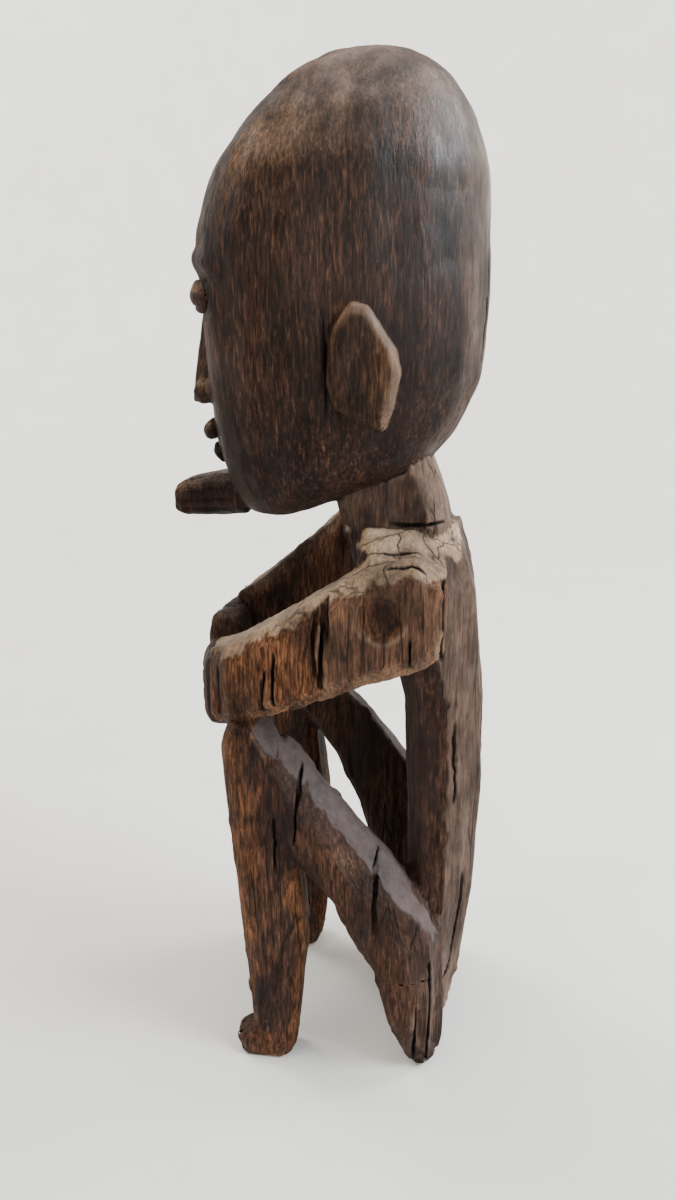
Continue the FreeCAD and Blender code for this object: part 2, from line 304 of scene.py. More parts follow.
def add_features(field):
    """Nose, lids, lips and goatee, each softened by itself and filleted into the head."""
    for node, reach, fillet in (
        ("nose", 1.6, 3.5), ("left_eyelid", 1.8, 1.2), ("right_eyelid", 1.8, 1.2),
        ("upper_lip", 1.8, 2.0), ("lower_lip", 1.8, 2.0), ("beard", 1.3, 3.0),
        ("left_ear", 0.9, 1.2), ("right_ear", 0.9, 1.2),
    ):
        field = joined(field, soft_node(node, reach), fillet)
    return field


def mirrored(direction, name):
    """A left-side direction, turned over for the right side."""
    return np.array([SIDES[name] * direction[0], *direction[1:]])


def eye_line(field, name, height, arch, half=19.0, count=13):
    """Points across a lowered lid: a height over its middle, and how much higher the middle is."""
    low, high = box_mm(name + "_eyelid")
    middle = (low + high) / 2
    along, outward = mirrored(LID_ALONG, name), mirrored(LID_OUTWARD, name)
    place = np.linspace(-1, 1, count)
    rise = np.array([0, 0, 1.0]) * (height + arch * (1 - place**2))[:, None]
    starts = middle + along * place[:, None] * half + rise + outward * 24
    return struck(field, starts, -outward, 60.0)


def hollow_sockets(field):
    """A shallow hollow for each eye, so that brow and cheek stand round it."""
    for name in SIDES:
        middle = eye_line(field, name, 0.0, 0.0, 1.0, 3)[1]
        scoop_out(field, middle + mirrored(LID_OUTWARD, name) * 25.0, 30.0, 3.0)


def carve_eyes(field):
    """Brow, the fold over each heavy lid, the closed slit low on it, and the fold beneath."""
    for name in SIDES:
        brow = eye_line(field, name, 15.0, 7.0, 25.0)
        add_stroke(field, brow, 5.5 * arched(len(brow), 0.45), -2.0, 5.0)
        fold = eye_line(field, name, 2.5, 7.5, 17.0)
        carve_stroke(field, fold, 1.3 * arched(len(fold), 0.5), 0.0, 0.8)
        under = eye_line(field, name, -5.0, -9.0, 18.0)
        carve_stroke(field, under, 1.5 * arched(len(under), 0.3), 0.4, 1.2)
        slit = eye_line(field, name, -1.0, -5.0, 17.0)
        carve_stroke(field, slit, 1.5 * arched(len(slit), 0.6), 0.0, 0.5)


def carve_nose(field):
    """Wings on a flat base, each with a round hollow under it."""
    for side in SIDES.values():
        wing = at("nose", 0.5 + side * 0.42, 0.50, 0.10)
        back = wing + np.array([side * 3.0, 12.0, 2.0])
        add_stroke(field, [wing, back], [7.0, 5.5], -2.5, 2.0)
        hollow = at("nose", 0.5 + side * 0.26, 0.34, 0.0)
        carve_stroke(field, [hollow, hollow + np.array([side * 2.0, 8.0, 0.0])], [2.6, 2.2], 0.0, 1.0)


def carve_mouth(field):
    """Closed lips: a parting with slightly raised corners, and a short groove under the nose."""
    low, high = box_mm("upper_lip")
    half = (high[0] - low[0]) / 2 + 5
    across = np.linspace(-1, 1, 11)[:, None]
    starts = np.array([0, low[1] - 12, low[2] - 0.5]) + across * [half, 0, 0] + across**2 * [0, 0, 2.5]
    parting = struck(field, starts, (0, 1, 0), 50.0)
    carve_stroke(field, parting, 1.6 * arched(len(parting), 0.5), 0.1, 0.8)
    groove = struck(field, [at("upper_lip", 0.5, -1.0, up) for up in (0.85, 1.1, 1.4)], (0, 1, 0), 50.0)
    carve_stroke(field, groove, [2.4, 2.2, 1.6], 0.9, 2.0)


def carve_goatee(field):
    """Long parallel cuts along the plank, on both sides, over and under."""
    for side in (-1, 1):
        for up in (0.22, 0.48, 0.74):
            start = at("beard", 0.5 + side * 0.5, 0.02, up * 0.80)
            end = at("beard", 0.5 + side * 0.5, 0.70, up)
            carve_stroke(field, [start, (start + end) / 2, end], [1.5, 2.0, 1.4], 0.0, 0.6)
    for across in (0.22, 0.5, 0.78):
        for up in (0.0, 1.0):
            start, end = at("beard", across, 0.0, up * 0.7), at("beard", across, 0.5, up)
            carve_stroke(field, [start, (start + end) / 2, end], [1.6, 1.9, 1.2], 0.1, 0.7)


def carve_ears(field):
    """Flat leaf ears, undercut in front and behind, with a shallow dish."""
    for name in SIDES:
        ear = name + "_ear"
        front = [at(ear, 0.45, y, z) for y, z in ((0.10, 0.90), (-0.03, 0.62), (0.0, 0.36), (0.2, 0.1))]
        carve_stroke(field, front, [1.4, 2.0, 2.0, 1.6], 0.2, 0.8)
        under = [at(ear, 0.45, y, z) for y, z in ((0.3, 0.10), (0.60, 0.0), (0.92, 0.02), (1.0, 0.4))]
        carve_stroke(field, under, [1.6, 2.2, 2.2, 1.4], 0.0, 0.8)
        scoop_out(field, at(ear, 1.0, 0.46, 0.50) + np.array([SIDES[name] * 56.0, 0, 0]), 58.0, 1.0)


def carve_head():
    field = soft_node("head", 6.0)
    hollow_sockets(field)
    field = add_features(field)
    carve_eyes(field)
    carve_nose(field)
    carve_mouth(field)
    carve_goatee(field)
    carve_ears(field)
    return field


# ---------------------------------------------------------------- the body

def cut_flush(field, node, point, normal):
    """Take off what stands beyond a plane."""
    normal = np.array(normal, float) / np.linalg.norm(normal)
    slices, coordinates = window(box_mm(node), MARGIN)
    beyond = sum((axis - start) * n for axis, start, n in zip(coordinates, point, normal))
    field[slices] = np.maximum(field[slices], beyond.astype(np.float32))


def limb_field(node):
    """A member's solid: hands rounded, and the knees cut down flush with the flat on top of the thigh."""
    field = soft_node(node, 3.0) if node.endswith("hand") else node_field(node)
    side_name, _, limb = node.partition("_")
    if limb in ("shin", "thigh"):
        thigh = side_name + "_thigh"
        above_flat = at(thigh, 0.60, 0.42, 1.0) + [0, 0, 6]
        flat = struck(node_field(thigh), [above_flat], (0, 0, -1), 150.0)[0]
        cut_flush(field, node, flat, mirrored(LAP_OUTWARD, side_name))
    return field


def welded_body():
    """Trunk and limbs as one solid: each grown a little so that they overlap, then all shrunk back."""
    weld = 1.1
    grown = np.full(SHAPE, FAR, np.float32)
    for node in BODY_PARTS:
        grown = np.minimum(grown, limb_field(node) - weld)
    points, quads = surface_of(grown)
    triangles = np.concatenate([quads[:, [0, 1, 2]], quads[:, [0, 2, 3]]])
    return softened(distance_field(points, triangles) + weld, 0.9)


def carve_hands(field):
    """Fingers laid over each other in front, parted by short cuts."""
    for name in SIDES:
        for up in (0.36, 0.54, 0.72):
            shares = (0.12, 0.35, 0.6, 0.85)
            starts = [at(name + "_hand", share, -0.2, up + 0.06 * share) for share in shares]
            line = struck(field, starts, (0, 1, 0))
            carve_stroke(field, line, 1.8 * arched(len(line), 0.6), 0.4, 1.0)


def bite_centre(name):
    return at(name + "_upper_arm", 1.0, 0.50, 0.62)


def carve_arms(field):
    """A round adze bite in each upper arm."""
    for name, side in SIDES.items():
        centre = bite_centre(name) + np.array([side * BITE_STAND_OFF, 0, 0])
        scoop_out(field, centre, math.hypot(BITE, BITE_STAND_OFF), 0.5)


def carve_toes(field):
    """Two cuts down the front of each foot."""
    for name in SIDES:
        foot = name + "_foot"
        for across in (0.36, 0.66):
            toe = [at(foot, across, 0.0, 0.30), at(foot, across, 0.05, 0.75), at(foot, across, 0.22, 1.0)]
            carve_stroke(field, toe, [1.2, 1.3, 1.0], 0.3, 0.6)


# Drying cracks and cuts. Each is a member; the face it opens on; where it lies on that face; where it
# starts and ends; its half width and its depth in mm. All but the half width and depth are shares
# of the member's box. Cracks on a side or the back run up the figure, those over the top run
# outwards, those along the top run backwards, and belts run backwards along the left side.
CRACKS = [
    ("head", "left", 0.49, 0.25, 0.47, 0.6, 1.3),
    ("head", "back", 0.62, 0.36, 0.60, 0.7, 2.0),
    ("neck", "belt", 0.10, 0.50, 1.0, 0.8, 3.0),
    ("left_upper_arm", "left", 0.02, 0.10, 0.95, 1.2, 6.0),
    ("left_upper_arm", "left", 0.07, 0.45, 0.90, 0.8, 4.0),
    ("left_upper_arm", "left", 0.99, 0.25, 1.0, 1.2, 7.0),
    ("left_upper_arm", "left", 0.72, 0.30, 0.48, 0.8, 2.5),
    ("left_upper_arm", "along", 0.56, 0.22, 0.50, 0.6, 1.4),
    ("left_upper_arm", "along", 0.40, 0.50, 0.90, 0.6, 1.4),
    ("left_upper_arm", "along", 0.84, 0.55, 0.85, 0.6, 1.4),
    ("left_forearm", "left", 0.97, 0.45, 1.0, 0.9, 4.0),
    ("left_forearm", "left", 0.60, 0.25, 0.62, 0.9, 3.0),
    ("left_forearm", "left", 0.53, 0.20, 0.50, 0.8, 3.0),
    ("left_forearm", "left", 0.10, 0.10, 0.45, 0.8, 3.0),
    ("left_thigh", "left", 0.27, 0.62, 0.90, 0.8, 4.0),
    ("left_thigh", "over", 0.27, 0.45, 1.0, 0.8, 3.0),
    ("left_thigh", "left", 0.66, 0.22, 0.58, 0.9, 4.5),
    ("left_thigh", "over", 0.66, 0.40, 1.0, 0.8, 3.0),
    ("left_shin", "left", 0.66, 0.56, 0.74, 0.8, 2.5),
    ("left_buttock", "left", 0.62, 0.0, 0.75, 0.9, 4.0),
    ("left_buttock", "left", 0.82, 0.0, 1.2, 1.1, 5.0),
    ("torso", "back", 0.83, 0.50, 0.66, 0.9, 3.0),
    ("torso", "back", 0.76, 0.06, 0.34, 1.0, 4.0),
    ("torso", "back", 0.40, 0.40, 0.75, 0.9, 3.0),
    ("torso", "back", 0.22, 0.02, 0.36, 1.0, 4.0),
    ("torso", "left", 0.30, 0.46, 0.64, 0.9, 3.0),
    ("right_thigh", "right", 0.40, 0.45, 0.75, 0.8, 3.0),
    ("right_shin", "right", 0.45, 0.40, 0.70, 0.8, 3.0),
    ("right_buttock", "right", 0.60, 0.05, 0.95, 0.9, 4.0),
    ("right_upper_arm", "right", 0.35, 0.25, 0.80, 0.9, 3.0),
    ("right_forearm", "right", 0.70, 0.20, 0.80, 0.9, 3.0),
]

crack_rods = []


def crack_start(node, face, fixed, moving):
    """Start of a ray that comes down on a crack."""
    if face == "back":
        return at(node, fixed, 1.0, moving) + [0, 6, 0]
    if face == "over":
        return at(node, moving, fixed, 1.0) + [0, 0, 6]
    if face == "along":
        return at(node, fixed, moving, 1.0) + [0, 0, 6]
    if face == "belt":
        return at(node, 1.0, moving, fixed) + [6, 0, 0]
    return at(node, 1.0, fixed, moving) + [6 if face == "left" else -6, 0, 0]


def carve_crack(field, seed, node, face, fixed, start, end, half, depth):
    """A wandering cut, deepest in its middle, that rises out of the wood at both ends."""
    size = np.ptp(box_mm(node), axis=0)[{"over": 0, "along": 1, "belt": 1}.get(face, 2)]
    count = max(6, int(abs(end - start) * size / 4))
    starts = np.array([crack_start(node, face, fixed, m) for m in np.linspace(start, end, count)])
    drift = 1.5 * noise(starts, (20, 20, 20), seed) + 0.8 * noise(starts, (6, 6, 6), seed + 50)
    starts[:, {"back": 0, "along": 0, "belt": 2}.get(face, 1)] += drift
    inward = {"over": (0, 0, -1), "along": (0, 0, -1), "back": (0, -1, 0), "right": (1, 0, 0)}
    reach = 150.0 if node.endswith("thigh") and face == "over" else 34.0
    points = struck(field, starts, inward.get(face, (-1, 0, 0)), reach)
    if len(points) < 4:
        return
    sunk = slope(field, points)
    fade = arched(len(points))
    radii = np.full(len(points), half)
    for share in (0.1, 0.4, 0.7, 1.0):
        rods = points - sunk * (share * depth * fade - half * (1 - fade))[:, None]
        merge_rods(field, rods, radii, 0.3, cut=True)
        crack_rods.append((rods, radii))


def carve_figure():
    field = joined(carve_head(), welded_body(), 2.0)
    carve_hands(field)
    carve_arms(field)
    carve_toes(field)
    for seed, crack in enumerate(CRACKS):
        carve_crack(field, seed, *crack)
    return field


# ---------------------------------------------------------------- one mesh for the whole figure

def vertex_normals(points, quads):
    diagonal_a = points[quads[:, 2]] - points[quads[:, 0]]
    diagonal_b = points[quads[:, 3]] - points[quads[:, 1]]
    face = np.cross(diagonal_a, diagonal_b)
    normals = np.zeros_like(points)
    for corner in range(4):
        np.add.at(normals, quads[:, corner], face)
    return normals / np.maximum(np.linalg.norm(normals, axis=1, keepdims=True), 1e-9)


def above(values, start, end):
    """0 below start, 1 above end, smooth between."""
    share = np.clip((values - start) / (end - start), 0, 1)
    return share * share * (3 - 2 * share)


def nearest_members():
    """For every voxel near the surface, the number of the member it is nearest to."""
    nearest = np.full(SHAPE, 1e9, np.float32)
    owner = np.zeros(SHAPE, np.uint8)
    for index, node in enumerate(NODES):
        field = node_field(node)
        closer = field < nearest
        owner[closer] = index
        nearest = np.minimum(nearest, field)
    return owner


def look_up(lattice, points):
    index = np.clip(np.rint(points / VOXEL).astype(int) - ORIGIN, 0, SHAPE - 1)
    return lattice[index[:, 0], index[:, 1], index[:, 2]]


def of_kind(owner, *endings):
    """1 on the vertices that belong to members whose names end in one of these words."""
    chosen = [index for index, node in enumerate(NODES) if node.endswith(endings)]
    return np.isin(owner, chosen).astype(float)


def roughened(points, normals, facing, height, owner):
    """Adze scoops, raised grain, nicked edges, crumbling end grain and, at the seat, splinters."""
    on_head = of_kind(owner, *HEAD_PARTS)
    body = 1 - on_head
    on_arm = of_kind(owner, "upper_arm", "forearm")
    long_cuts = scoops(points, (20, 20, 75), 5) * 1.7 * (body - on_arm)
    arm_cuts = scoops(points, (20, 17, 30), 6) * 1.2 * on_arm
    head_cuts = scoops(points, (17, 15, 19), 8) * 0.55 * on_head
    grain = noise(points, (2.6, 2.6, 40), 11) * (0.42 * body + 0.12 * on_head)
    broad = noise(points, (30, 30, 70), 12) * (0.8 * body + 0.4 * on_head)
    end_grain = above(facing[:, 2], 0.35, 0.7) * body
    crumbs = noise(points, (6, 6, 5), 14) * 0.32 * end_grain
    nicked = body - 0.7 * of_kind(owner, "hand")
    nicks = above(noise(points, (6, 6, 13), 15), 0.1, 0.8) * above(height, 0.35, 1.0) * 1.6 * nicked
    seat = above(-points[:, 2], -at("left_buttock", 0, 0, 1.5)[2], -at("left_buttock", 0, 0, 0.3)[2])
    seat = seat * above(points[:, 1], 25, 40)
    splinters = np.clip(1.0 - np.abs(noise(points, (7, 7, 160), 13)) * 2.6, 0, 1) * 2.8 * seat
    shift = long_cuts + arm_cuts + head_cuts + grain + broad + crumbs - nicks - splinters - 0.6
    return points + normals * (shift * above(points[:, 2], 0.5, 4.0))[:, None]


figure = carve_figure()
relief = softened(figure, 3.2)
points, quads = surface_of(figure)
facing = slope(relief, points)
height = sample(relief, points)
members = nearest_members()
owner = look_up(members, points)
points = roughened(points, vertex_normals(points, quads), facing, height, owner)
points[:, 2] = np.maximum(points[:, 2], 0)
normals = vertex_normals(points, quads)

PIECES = {"carved_head": FACE, "carved_goatee": ["beard"]}
PIECES.update({"carved_" + node: [node] for node in ["left_ear", "right_ear"] + BODY_PARTS})


# ---------------------------------------------------------------- wear, dust, soot, painted light and painted shade

def crack_shade():
    """1 in the cracks, 0 just outside them."""
    dark = np.zeros(len(points))
    for rods, radii in crack_rods:
        low, high = rods.min(0) - 4, rods.max(0) + 4
        close = np.flatnonzero(np.all((points > low) & (points < high), axis=1))
        gap = stroke_field(points[close].T, rods, radii)
        dark[close] = np.maximum(dark[close], 1 - above(gap, -0.2, 0.8))
    return dark


def near(node, reach):
    """1 inside a member's box, fading to 0 over that many mm outside it."""
    low, high = box_mm(node)
    outside = np.maximum(np.maximum(low - points, points - high), 0)
    return 1 - above(np.linalg.norm(outside, axis=1), 0, reach)


def paint_trunk_and_arms(back, up, ragged, patch, head):
    """Pale end grain on the shoulders, red sides of the arms, painted light on the back and the bite rim,
    painted shade in front and in the bite.
    """
    torso, neck = of_kind(owner, "torso"), of_kind(owner, "neck")
    arm, upper_arm = of_kind(owner, "upper_arm", "forearm"), of_kind(owner, "upper_arm")
    shoulder = above(points[:, 2], 320, 345)
    near_side = above(points[:, 0], -20, 5)
    cut_end = above(up + 0.5 * ragged, 0.38, 0.50) * (arm + torso * shoulder) * (0.25 + 0.75 * near_side)
    elbow = above(-points[:, 1], -20, 60)
    edge = above(height + 0.3 * ragged, 0.55, 1.3) * above(patch, -0.2, 0.5) * (1 - head)
    under = above(-up + ragged, 0.35, 0.6) * arm
    # painted shade inside the adze bite, and a painted highlight on its lower rim
    from_bite = np.linalg.norm((points - bite_centre("left"))[:, 1:], axis=1) + 3 * ragged
    bitten = (1 - above(from_bite, BITE - 4, BITE)) * arm * above(points[:, 0], 60, 66) * (1 - cut_end)
    rim = above(from_bite, BITE - 1, BITE + 1) * (1 - above(from_bite, BITE + 1, BITE + 4))
    rim = rim * (1 - above(points[:, 2], 330, 340)) * arm * near_side
    # painted light on the trunk and neck where they face back, towards the window light
    painted_back_light = above(back + ragged, 0.30, 0.45) * (torso + neck)
    return {
        "bare": cut_end * (1 - 0.45 * elbow) + 0.40 * edge + 0.12 * under + 0.35 * rim,
        "worn": painted_back_light + 0.40 * upper_arm * (1 - bitten) + 0.35 * neck,
        "warm": 0.80 * arm * (1 - cut_end) * (0.45 + 0.55 * near_side),
        # painted shade on the front of the trunk and inside the bite
        "soot_and_shade": torso * above(-back + 0.6 * ragged, -0.28, 0.0) * (1 - cut_end) + 0.28 * bitten,
    }


def paint_legs(back, up, ragged):
    """Dusty flat on top of each thigh, purple-brown beside it, orange shins; painted shade on thigh and shin
    sides, painted warm light on shin fronts.
    """
    shin, foot = of_kind(owner, "shin"), of_kind(owner, "foot")
    haunch = of_kind(owner, "thigh") + of_kind(owner, "buttock")
    knee = above(points[:, 2], at("left_shin", 0, 0, 0.86)[2], at("left_shin", 0, 0, 0.92)[2])
    slant = 0.77 * back + 0.64 * up
    lap = above(slant + 0.22 * ragged, 0.82, 0.89) * np.clip(haunch + shin * knee, 0, 1)
    side_of_lap = haunch * (1 - lap)
    flank = above(slant + 0.5 * ragged, 0.30, 0.46) * side_of_lap
    # painted warm light where the shins face forwards and along their fore edge
    shin_front = above(-back + ragged, 0.2, 0.5) * shin
    shin_back = above(back + ragged, 0.3, 0.5) * shin * (1 - lap)
    shin_line = -46 + 0.12 * (260 - points[:, 2])
    foreside = above(shin_line - points[:, 1] + 12 * ragged, -2, 6) * above(points[:, 2], 90, 190) * shin
    painted_shin_light = np.maximum(shin_front, foreside)
    webs = above(noise(points, (5, 5, 9), 31) + 0.5 * noise(points, (2.2, 2.2, 3), 32), 0.35, 0.8)
    ankle = near("left_foot", 26) * shin + near("left_buttock", 10) * above(back, -0.2, 0.6)
    return {
        "dust": 0.80 * lap + 0.05 * flank + 0.7 * webs * np.clip(ankle, 0, 1),
        "worn": 0.15 * flank,
        "warm": painted_shin_light + 0.8 * shin_back + 0.20 * (side_of_lap - flank) + 0.4 * foot,
        # painted shade on the sides of the shins and thighs, taken back a little on the chamfer beside the
        # flat
        "soot_and_shade": 0.35 * (shin - painted_shin_light) * (1 - shin_back) * (1 - knee) + 0.50 * side_of_lap - 0.25 * flank,
    }


def paint_head(back, up, ragged, head):
    """Crown lighter from wear and painted top light, painted rim light down the back, light ear bevels,
    painted shade about the ears.
    """
    ear = of_kind(owner, "ear")
    painted_rim_light = above(back + 0.3 * ragged, 0.62, 0.85) * head * (1 - ear)
    around = np.maximum(near("left_ear", 16), near("right_ear", 16)) * (1 - ear) * head
    return {
        # a light bevel round each ear, made lighter where it faces up and back: wear with painted light
        "bare": 0.75 * ear * np.maximum(above(up, 0.15, 0.4), above(back, 0.15, 0.4)),
        # painted rim light down the back of the head, and a crown lighter from wear and from painted top
        # light
        "worn": 0.45 * painted_rim_light + 0.90 * above(up, 0.15, 0.60) * above(back, -0.75, 0.0) * head * (1 - ear),
        # ochre wood with painted warm light on the front of the crown
        "warm": 0.9 * above(up, 0.05, 0.5) * above(-back, -0.1, 0.5) * head + 0.2 * ear,
        # soot smudges with painted shade behind the ears, and painted shade on the head's downward faces
        "soot_and_shade": 0.7 * around * above(back + 0.7 * ragged, -0.3, 0.5) + 0.2 * head * above(-up, -0.2, 0.3),
    }


def paint():
    """Masks for the material, all from 0 to 1."""
    outward = facing[:, 0] * np.sign(points[:, 0])
    back, up = facing[:, 1], facing[:, 2]
    ragged = 0.30 * noise(points, (6, 6, 14), 21) + 0.20 * noise(points, (2.5, 2.5, 6), 22)
    patch = noise(points, (15, 15, 40), 23)
    head = of_kind(owner, *HEAD_PARTS)
    crown = box_mm("head")[1][2]
    masks = {name: np.zeros(len(points)) for name in ("bare", "dust", "worn", "warm")}
    # painted shade in the hollows, with random soot patches, and soot on the hands
    masks["soot_and_shade"] = above(-height, 0.2, 1.6) + 0.3 * above(patch, 0.25, 0.8)
    masks["soot_and_shade"] += 0.25 * of_kind(owner, "hand")
    # painted shade on faces turned in between the parts
    masks["soot_and_shade"] += 0.25 * above(-outward + 0.4 * ragged, 0.3, 0.7) * (1 - head)
    for layer in (
        paint_trunk_and_arms(back, up, ragged, patch, head),
        paint_legs(back, up, ragged),
        paint_head(back, up, ragged, head),
    ):
        for name, values in layer.items():
            masks[name] += values
    masks["crack"] = crack_shade()
    masks["end_grain"] = above(masks["bare"], 0.5, 0.9) * (1 - head)
    masks["upright"] = (1 - above(np.abs(up), 0.25, 0.55)) * (1 - head)
    masks["polish"] = head * above(points[:, 2], crown - 230, crown - 110) * above(back, -0.45, 0.35)
    masks["speckle"] = head * above(-points[:, 2], 170 - crown, 215 - crown)
    return {name: np.clip(values, 0, 1) for name, values in masks.items()}


# ---------------------------------------------------------------- material

DEEP = (0.014, 0.007, 0.006, 1)
BLACK = (0.004, 0.003, 0.003, 1)
DUST = (0.118, 0.093, 0.088, 1)
FLECK = (0.150, 0.074, 0.036, 1)


def node_tree(name):
    material = bpy.data.materials.new(name)
    material.use_nodes = True
    tree = material.node_tree
    tree.nodes.clear()
    return material, tree


def put(tree, kind, inputs=None, **settings):
    node = tree.nodes.new(kind)
    for key, value in settings.items():
        setattr(node, key, value)
    for key, value in (inputs or {}).items():
        if hasattr(value, "links"):
            tree.links.new(value, node.inputs[key])
        else:
            node.inputs[key].default_value = value
    return node


def blend_colours(tree, share, first, second):
    mix = put(tree, "ShaderNodeMix", data_type="RGBA")
    for socket, value in ((mix.inputs[0], share), (mix.inputs[6], first), (mix.inputs[7], second)):
        if hasattr(value, "links"):
            tree.links.new(value, socket)
        else:
            socket.default_value = value
    return mix.outputs[2]


def dimmed(tree, colour, factor):
    """A colour made lighter or darker by a number that changes over the surface."""
    return put(tree, "ShaderNodeVectorMath", {0: colour, "Scale": factor}, operation="SCALE").outputs[0]


def spread(tree, value, start, end, low=0.0, high=1.0):
    """A value drawn out from one range to another, held at its ends."""
    node = put(tree, "ShaderNodeMapRange", {
        "Value": value, "From Min": start, "From Max": end, "To Min": low, "To Max": high,
    })
    return node.outputs["Result"]


def ramp(tree, value, stops):
    node = put(tree, "ShaderNodeValToRGB", {"Fac": value})
    elements = node.color_ramp.elements
    while len(elements) < len(stops):
        elements.new(0.5)
    for element, (place, colour) in zip(elements, stops):
        element.position = place
        element.color = colour
    return node.outputs["Color"]


def stretched(tree, scale, shift=0.0):
    place = put(tree, "ShaderNodeTexCoord").outputs["Object"]
    inputs = {"Vector": place, "Scale": scale, "Location": (shift, shift, shift)}
    return put(tree, "ShaderNodeMapping", inputs).outputs["Vector"]


def noise_texture(tree, scale, detail=4.0, roughness=0.55, distortion=0.0, shift=0.0):
    node = put(tree, "ShaderNodeTexNoise", {
        "Vector": stretched(tree, scale, shift), "Scale": 1.0, "Detail": detail,
        "Roughness": roughness, "Distortion": distortion,
    })
    return node.outputs["Fac"]


def checks(tree, scale, width, shift=0.0):
    """1 on thin wandering lines between long cells, 0 elsewhere."""
    place = stretched(tree, scale, shift)
    sway = put(tree, "ShaderNodeTexNoise", {"Vector": place, "Scale": 2.5, "Detail": 3.0}).outputs["Color"]
    moved = put(tree, "ShaderNodeVectorMath", {0: place, 1: dimmed(tree, sway, 0.35)}, operation="ADD")
    cells = put(tree, "ShaderNodeTexVoronoi", {"Vector": moved.outputs[0], "Scale": 1.0},
                feature="DISTANCE_TO_EDGE")
    return spread(tree, cells.outputs["Distance"], 0.0, width, 1.0, 0.0)


def mask(tree, name):
    return put(tree, "ShaderNodeAttribute", attribute_name=name).outputs["Fac"]


def math_node(tree, operation, first, second):
    return put(tree, "ShaderNodeMath", {0: first, 1: second}, operation=operation).outputs[0]


def multiply(tree, first, second):
    return math_node(tree, "MULTIPLY", first, second)


def bumped(tree, height, strength, distance, normal=None):
    inputs = {"Height": height, "Strength": strength, "Distance": distance}
    if normal is not None:
        inputs["Normal"] = normal
    return put(tree, "ShaderNodeBump", inputs).outputs["Normal"]


def wood_colour(tree, grain, mid, light, warm, worn, bare):
    """Dark streaked wood with its warm, worn and bared places, all three partly painted light, then the grain
    laid over all of it.
    """
    streaks = noise_texture(tree, (46, 46, 6.0), 6.0, 0.66, 0.7)
    patches, dashes, hairs = grain["patches"], grain["dashes"], grain["hairs"]
    colour = ramp(tree, streaks, [(0.38, DEEP), (0.48, mid), (0.60, mid), (0.74, light)])
    warm_here = multiply(tree, mask(tree, "warm"), spread(tree, patches, 0.34, 0.54, 0.35, 1.0))
    colour = blend_colours(tree, warm_here, colour, ramp(tree, streaks, [(0.32, mid), (0.58, warm)]))
    flecks = spread(tree, dashes, 0.56, 0.72, 0.0, 0.26)
    colour = blend_colours(tree, flecks, colour, FLECK)
    colour = dimmed(tree, colour, spread(tree, dashes, 0.40, 0.60, 0.30, 1.50))
    worn_here = multiply(tree, mask(tree, "worn"), spread(tree, patches, 0.30, 0.60, 0.45, 1.0))
    colour = blend_colours(tree, worn_here, colour, ramp(tree, streaks, [(0.30, mid), (0.52, worn)]))
    bare_here = multiply(tree, mask(tree, "bare"), spread(tree, patches, 0.28, 0.50, 0.5, 1.0))
    colour = blend_colours(tree, bare_here, colour, bare)
    colour = dimmed(tree, colour, spread(tree, dashes, 0.36, 0.64, 0.80, 1.14))
    colour = dimmed(tree, colour, spread(tree, hairs, 0.34, 0.66, 0.72, 1.28))
    return dimmed(tree, colour, spread(tree, patches, 0.38, 0.62, 0.55, 1.36))


def soiled_and_shaded(tree, colour, grain):
    """Dust, dark speckle on the jaw, and soot mixed with painted shade in the hollows, between the parts and
    on the sides away from the light.
    """
    dust_noise = spread(tree, noise_texture(tree, (130, 130, 90), 5.0, 0.7, 0.0, 9.0), 0.25, 0.60, 0.45, 1.0)
    colour = blend_colours(tree, multiply(tree, mask(tree, "dust"), dust_noise), colour, DUST)
    speckled = multiply(tree, mask(tree, "speckle"), spread(tree, grain["grit"], 0.50, 0.60))
    colour = blend_colours(tree, multiply(tree, speckled, 0.7), colour, BLACK)
    soot_and_shade_here = multiply(tree, mask(tree, "soot_and_shade"), spread(tree, grain["patches"], 0.30, 0.62, 0.95, 0.55))
    return blend_colours(tree, soot_and_shade_here, colour, DEEP)


def fine_lines(tree):
    """Short upright checks on the sides and a net of them on the end grain."""
    some = spread(tree, noise_texture(tree, (30, 30, 12), 2.0, 0.5, 0.0, 11.0), 0.50, 0.58)
    upright = multiply(tree, multiply(tree, checks(tree, (85, 85, 9), 0.05), some), mask(tree, "upright"))
    crazed = multiply(tree, checks(tree, (75, 38, 50), 0.04, 2.0), mask(tree, "end_grain"))
    return math_node(tree, "MAXIMUM", upright, multiply(tree, crazed, 0.8))


